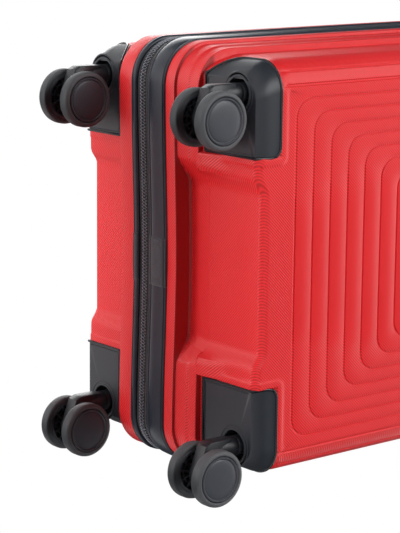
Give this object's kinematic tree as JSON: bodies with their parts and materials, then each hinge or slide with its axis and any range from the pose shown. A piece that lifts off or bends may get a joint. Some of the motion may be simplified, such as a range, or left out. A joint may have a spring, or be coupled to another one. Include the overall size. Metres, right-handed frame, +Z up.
{
  "type": "hard shell suitcase",
  "caption": "Hard-shell travel case that opens like a clam, with a zip band, double spinner wheels at the corners, a telescopic handle and carry handles.",
  "frame": {"origin": "on the floor under the middle of the bounding box, the case standing upright on its wheels", "axes": "+Z up, -Y out of the front shell, +Y out of the back shell that holds the trolley handle, +X towards the side with the carry handle and lock"},
  "size_m": [0.4824, 0.3, 0.6895],
  "materials": {
    "shell": "satin red polycarbonate with a fine diagonal twill",
    "binding": "satin charcoal coated binding",
    "zip_tape": "black woven tape",
    "lining": "dark grey polyester lining",
    "housing": "moulded charcoal plastic",
    "fork": "moulded charcoal nylon",
    "wheel": "matt charcoal tyre on a moulded hub",
    "steel": "zinc plated steel",
    "trolley_tube": "satin anodised",
    "handle_grip": "soft-touch charcoal plastic",
    "lock": "smooth black plastic",
    "lock_metal": "satin nickel",
    "zip_metal": "black nickel"
  },
  "bodies": {
    "back_half": {"back_shell": "shell", "back_rim_binding": "binding", "back_zip_tape": "zip_tape", "hinge_tape": "zip_tape", "back_lining": "lining", "trolley_cover_panel": "lining", "lower_packing_strap": "zip_tape", "upper_packing_strap": "zip_tape", "wheel_housing_back_left": "housing", "wheel_housing_back_right": "housing", "swivel_pin_back_left": "steel", "swivel_pin_back_right": "steel", "outer_tube_left": "trolley_tube", "outer_tube_right": "trolley_tube", "trolley_tub": "housing", "trolley_foot": "housing", "top_handle_base": "housing", "side_handle_base": "housing"},
    "lid": {"front_shell": "shell", "front_rim_binding": "binding", "front_zip_tape": "zip_tape", "front_lining": "lining", "wheel_housing_front_left": "housing", "wheel_housing_front_right": "housing", "swivel_pin_front_left": "steel", "swivel_pin_front_right": "steel", "lock_housing": "lock"},
    "caster_front_left": {"caster_fork_front_left": "fork", "caster_axle_front_left": "steel"},
    "rolling_front_left_a": {"wheel_front_left_a": "wheel"},
    "rolling_front_left_b": {"wheel_front_left_b": "wheel"},
    "caster_front_right": {"caster_fork_front_right": "fork", "caster_axle_front_right": "steel"},
    "rolling_front_right_a": {"wheel_front_right_a": "wheel"},
    "rolling_front_right_b": {"wheel_front_right_b": "wheel"},
    "caster_back_left": {"caster_fork_back_left": "fork", "caster_axle_back_left": "steel"},
    "rolling_back_left_a": {"wheel_back_left_a": "wheel"},
    "rolling_back_left_b": {"wheel_back_left_b": "wheel"},
    "caster_back_right": {"caster_fork_back_right": "fork", "caster_axle_back_right": "steel"},
    "rolling_back_right_a": {"wheel_back_right_a": "wheel"},
    "rolling_back_right_b": {"wheel_back_right_b": "wheel"},
    "trolley_middle": {"middle_tube_left": "trolley_tube", "middle_tube_right": "trolley_tube"},
    "trolley_top": {"inner_tube_left": "trolley_tube", "inner_tube_right": "trolley_tube", "trolley_grip": "housing"},
    "release_button": {"trolley_button": "handle_grip"},
    "top_handle": {"top_handle_grip": "handle_grip"},
    "side_handle": {"side_handle_grip": "handle_grip"},
    "lock_latch": {"lock_button": "lock"},
    "lock_key": {"lock_key_core": "lock_metal"},
    "dial_1": {"lock_dial_1": "lock_metal"},
    "dial_2": {"lock_dial_2": "lock_metal"},
    "dial_3": {"lock_dial_3": "lock_metal"},
    "lower_slider": {"lower_zip_slider": "zip_metal"},
    "lower_pull": {"lower_zip_pull": "zip_metal"},
    "upper_slider": {"upper_zip_slider": "zip_metal"},
    "upper_pull": {"upper_zip_pull": "zip_metal"}
  },
  "joints": [
    {"name": "lid_hinge", "type": "hinge", "parent": "back_half", "child": "lid", "pos_m": [-0.24175, 0.031, 0.372], "axis": [0, 0, -1], "range_deg": [0, 180]},
    {"name": "swivel_front_left", "type": "hinge", "parent": "lid", "child": "caster_front_left", "pos_m": [-0.19375, -0.118, 0.072], "axis": [0, 0, 1], "continuous": true},
    {"name": "roll_front_left_a", "type": "hinge", "parent": "caster_front_left", "child": "rolling_front_left_a", "pos_m": [-0.16975, -0.118, 0.031], "axis": [0, 1, 0], "continuous": true},
    {"name": "roll_front_left_b", "type": "hinge", "parent": "caster_front_left", "child": "rolling_front_left_b", "pos_m": [-0.16975, -0.118, 0.031], "axis": [0, 1, 0], "continuous": true},
    {"name": "swivel_front_right", "type": "hinge", "parent": "lid", "child": "caster_front_right", "pos_m": [0.18625, -0.118, 0.072], "axis": [0, 0, 1], "continuous": true},
    {"name": "roll_front_right_a", "type": "hinge", "parent": "caster_front_right", "child": "rolling_front_right_a", "pos_m": [0.21025, -0.118, 0.031], "axis": [0, 1, 0], "continuous": true},
    {"name": "roll_front_right_b", "type": "hinge", "parent": "caster_front_right", "child": "rolling_front_right_b", "pos_m": [0.21025, -0.118, 0.031], "axis": [0, 1, 0], "continuous": true},
    {"name": "swivel_back_left", "type": "hinge", "parent": "back_half", "child": "caster_back_left", "pos_m": [-0.19375, 0.118, 0.072], "axis": [0, 0, 1], "continuous": true},
    {"name": "roll_back_left_a", "type": "hinge", "parent": "caster_back_left", "child": "rolling_back_left_a", "pos_m": [-0.16975, 0.118, 0.031], "axis": [0, 1, 0], "continuous": true},
    {"name": "roll_back_left_b", "type": "hinge", "parent": "caster_back_left", "child": "rolling_back_left_b", "pos_m": [-0.16975, 0.118, 0.031], "axis": [0, 1, 0], "continuous": true},
    {"name": "swivel_back_right", "type": "hinge", "parent": "back_half", "child": "caster_back_right", "pos_m": [0.18625, 0.118, 0.072], "axis": [0, 0, 1], "continuous": true},
    {"name": "roll_back_right_a", "type": "hinge", "parent": "caster_back_right", "child": "rolling_back_right_a", "pos_m": [0.21025, 0.118, 0.031], "axis": [0, 1, 0], "continuous": true},
    {"name": "roll_back_right_b", "type": "hinge", "parent": "caster_back_right", "child": "rolling_back_right_b", "pos_m": [0.21025, 0.118, 0.031], "axis": [0, 1, 0], "continuous": true},
    {"name": "trolley_lower_stage", "type": "slide", "parent": "back_half", "child": "trolley_middle", "axis": [0, 0, 1], "range_m": [0, 0.19]},
    {"name": "trolley_upper_stage", "type": "slide", "parent": "trolley_middle", "child": "trolley_top", "axis": [0, 0, 1], "range_m": [0, 0.2]},
    {"name": "trolley_button_press", "type": "slide", "parent": "trolley_top", "child": "release_button", "axis": [0, 0, -1], "range_m": [0, 0.003], "stiffness_N_per_m": 300, "springref_m": -0.002},
    {"name": "top_handle_pull", "type": "slide", "parent": "back_half", "child": "top_handle", "axis": [0, 0, 1], "range_m": [0, 0.014], "stiffness_N_per_m": 150, "springref_m": -0.004},
    {"name": "side_handle_pull", "type": "slide", "parent": "back_half", "child": "side_handle", "axis": [1, 0, 0], "range_m": [0, 0.014], "stiffness_N_per_m": 150, "springref_m": -0.004},
    {"name": "lock_button_press", "type": "slide", "parent": "lid", "child": "lock_latch", "axis": [-1, 0, 0], "range_m": [0, 0.0012], "stiffness_N_per_m": 300, "springref_m": -0.002},
    {"name": "lock_key_turn", "type": "hinge", "parent": "lid", "child": "lock_key", "pos_m": [0.23125, -0.039, 0.449], "axis": [1, 0, 0], "range_deg": [0, 90]},
    {"name": "dial_1_turn", "type": "hinge", "parent": "lid", "child": "dial_1", "pos_m": [0.22985, -0.039, 0.4767], "axis": [0, 0, 1], "continuous": true},
    {"name": "dial_2_turn", "type": "hinge", "parent": "lid", "child": "dial_2", "pos_m": [0.22985, -0.039, 0.4841], "axis": [0, 0, 1], "continuous": true},
    {"name": "dial_3_turn", "type": "hinge", "parent": "lid", "child": "dial_3", "pos_m": [0.22985, -0.039, 0.4915], "axis": [0, 0, 1], "continuous": true},
    {"name": "lower_slider_run", "type": "slide", "parent": "back_half", "child": "lower_slider", "axis": [0, 0, 1], "range_m": [-0.33, 0]},
    {"name": "lower_pull_flip", "type": "hinge", "parent": "lower_slider", "child": "lower_pull", "pos_m": [0.23825, 0.031, 0.462], "axis": [0, 0, 1], "range_deg": [0, 165]},
    {"name": "upper_slider_run", "type": "slide", "parent": "back_half", "child": "upper_slider", "axis": [0, 0, 1], "range_m": [0, 0.135]},
    {"name": "upper_pull_flip", "type": "hinge", "parent": "upper_slider", "child": "upper_pull", "pos_m": [0.23825, 0.031, 0.478], "axis": [0, 0, 1], "range_deg": [0, 165]}
  ]
}
